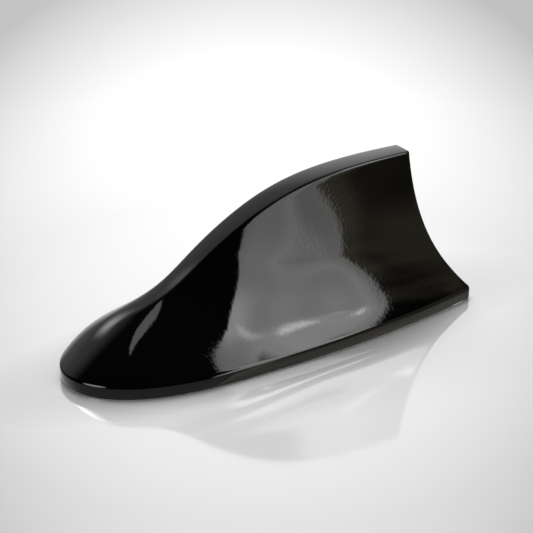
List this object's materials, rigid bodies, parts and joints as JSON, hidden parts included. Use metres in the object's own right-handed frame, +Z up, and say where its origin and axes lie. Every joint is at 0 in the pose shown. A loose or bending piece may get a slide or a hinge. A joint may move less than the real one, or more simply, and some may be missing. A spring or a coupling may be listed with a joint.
{
  "type": "shark fin aerial",
  "caption": "Gloss black shark fin roof aerial with a flat spine, concave flanks and a thin rim, stuck down by a foam pad, with a sealed base and a cable outlet.",
  "frame": {"origin": "middle of the plan box at the foot of the adhesive pad", "axes": "+X from nose to tail, -Y toward the side that the picture shows, +Z up from the roof"},
  "size_m": [0.166, 0.058, 0.062],
  "materials": {
    "gloss_black_plastic": "gloss, piano black with a faint orange peel",
    "matte_black_plastic": "fine matt texture",
    "black_rubber": "matt",
    "foam_tape": "matt closed-cell foam",
    "zinc_steel": "bright zinc plate",
    "green_board": "satin solder resist",
    "tinned_brass": "bright tin plate",
    "tinned_steel": "satin tin plate",
    "chip_epoxy": "matt moulding compound",
    "can_aluminium": "satin",
    "ferrite": "matt sintered",
    "chip_ceramic": "satin",
    "white_plastic": "satin",
    "copper_wire": "enamelled gloss",
    "grey_foam": "matt open-cell foam"
  },
  "bodies": {
    "root": {"fin_cover": "gloss_black_plastic", "base_plate": "matte_black_plastic", "perimeter_seal": "black_rubber", "adhesive_pad": "foam_tape", "base_screws": "zinc_steel", "cable_grommet": "black_rubber", "circuit_board": "green_board", "board_screws": "zinc_steel", "lead_posts": "tinned_brass", "shield_can": "tinned_steel", "amplifier_chip": "chip_epoxy", "smoothing_capacitor": "can_aluminium", "supply_choke": "ferrite", "chip_capacitors": "chip_ceramic", "chip_resistors": "chip_epoxy", "coil_former": "white_plastic", "loading_coil": "copper_wire", "roof_plate": "tinned_steel", "element_carrier": "white_plastic", "carrier_screws": "zinc_steel", "foam_dampers": "grey_foam"}
  },
  "joints": []
}
